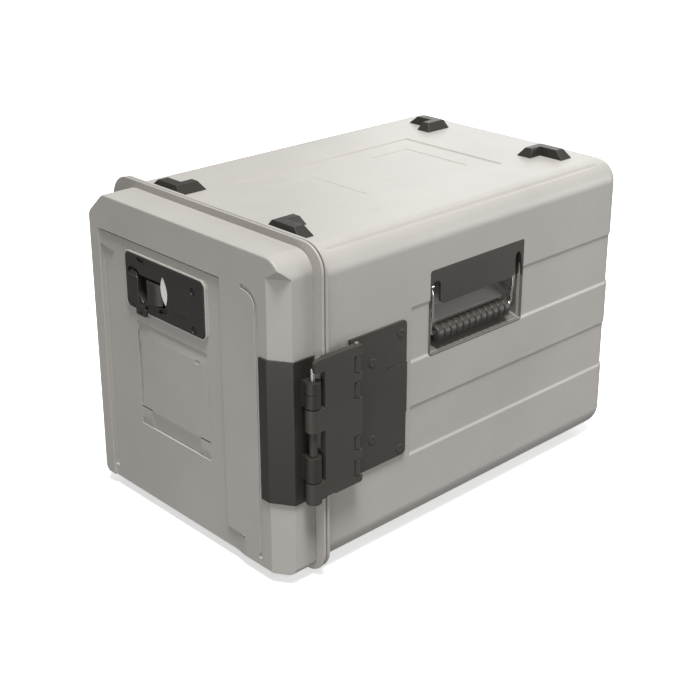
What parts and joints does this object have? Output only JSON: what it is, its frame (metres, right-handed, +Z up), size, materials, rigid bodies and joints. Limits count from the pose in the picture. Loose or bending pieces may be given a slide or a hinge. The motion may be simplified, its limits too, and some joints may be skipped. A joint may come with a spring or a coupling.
{
  "type": "insulated food carrier",
  "caption": "Front-loading insulated cabinet for standard food pans, with a two-axis hinged door, pull latch, bail handles and stacking corners.",
  "frame": {"origin": "centre of the cabinet's underside skid, on the resting plane, midway between the side walls", "axes": "+Z up, door and latch towards -Y, hinges on the +X side, back wall towards +Y"},
  "size_m": [0.4602, 0.686, 0.475],
  "materials": {
    "shell_grey": "fine-textured moulded plastic",
    "liner_grey": "smooth moulded plastic",
    "trim_black": "glass-filled moulded plastic",
    "steel": "plain stainless",
    "foam": "rigid foam, hidden inside the walls",
    "seal_rubber": "soft extruded seal"
  },
  "bodies": {
    "cabinet": {"outer_shell": "shell_grey", "insulation_core": "foam", "inner_liner": "liner_grey", "runner_left": "liner_grey", "runner_right": "liner_grey", "recess_cup_right": "trim_black", "recess_cup_left": "trim_black", "bail_pivots_right": "steel", "bail_pivots_left": "steel", "corner_front_left": "trim_black", "corner_front_right": "trim_black", "corner_back_left": "trim_black", "corner_back_right": "trim_black", "bolt_keeper": "steel", "hinge_body_leaf": "trim_black", "hinge_screws": "trim_black"},
    "link": {"hinge_link": "trim_black", "hinge_pin_front": "steel", "hinge_pin_rear": "steel"},
    "door": {"door_shell": "shell_grey", "door_core": "foam", "door_liner": "shell_grey", "door_seal": "seal_rubber", "hinge_door_leaf": "trim_black", "latch_plate": "trim_black", "latch_screws": "steel", "latch_pin": "steel", "label_holder": "shell_grey"},
    "lever": {"latch_lever": "trim_black"},
    "bolt": {"latch_bolt": "steel"},
    "bail_right": {"bail_wire_right": "steel", "bail_grip_right": "trim_black"},
    "bail_left": {"bail_wire_left": "steel", "bail_grip_left": "trim_black"}
  },
  "joints": [
    {"name": "link_swing", "type": "hinge", "parent": "cabinet", "child": "link", "pos_m": [0.23, -0.231, 0.2325], "axis": [0, 0, 1], "range_deg": [0, 90]},
    {"name": "door_swing", "type": "hinge", "parent": "link", "child": "door", "pos_m": [0.224, -0.301, 0.2325], "axis": [0, 0, 1], "range_deg": [0, 150]},
    {"name": "lever_pull", "type": "hinge", "parent": "door", "child": "lever", "pos_m": [-0.07, -0.331, 0.354], "axis": [0, 0, -1], "range_deg": [0, 35]},
    {"name": "bolt_slide", "type": "slide", "parent": "door", "child": "bolt", "axis": [1, 0, 0], "range_m": [0, 0.02], "stiffness_N_per_m": 280, "springref_m": -0.0065},
    {"name": "bail_right_swing", "type": "hinge", "parent": "cabinet", "child": "bail_right", "pos_m": [0.2065, 0.014, 0.36], "axis": [0, -1, 0], "range_deg": [0, 95]},
    {"name": "bail_left_swing", "type": "hinge", "parent": "cabinet", "child": "bail_left", "pos_m": [-0.2065, 0.014, 0.36], "axis": [0, 1, 0], "range_deg": [0, 95]}
  ],
  "couplings": [
    {"joint": "lever_pull", "follows": "bolt_slide", "rad_per_m": 30.5}
  ]
}
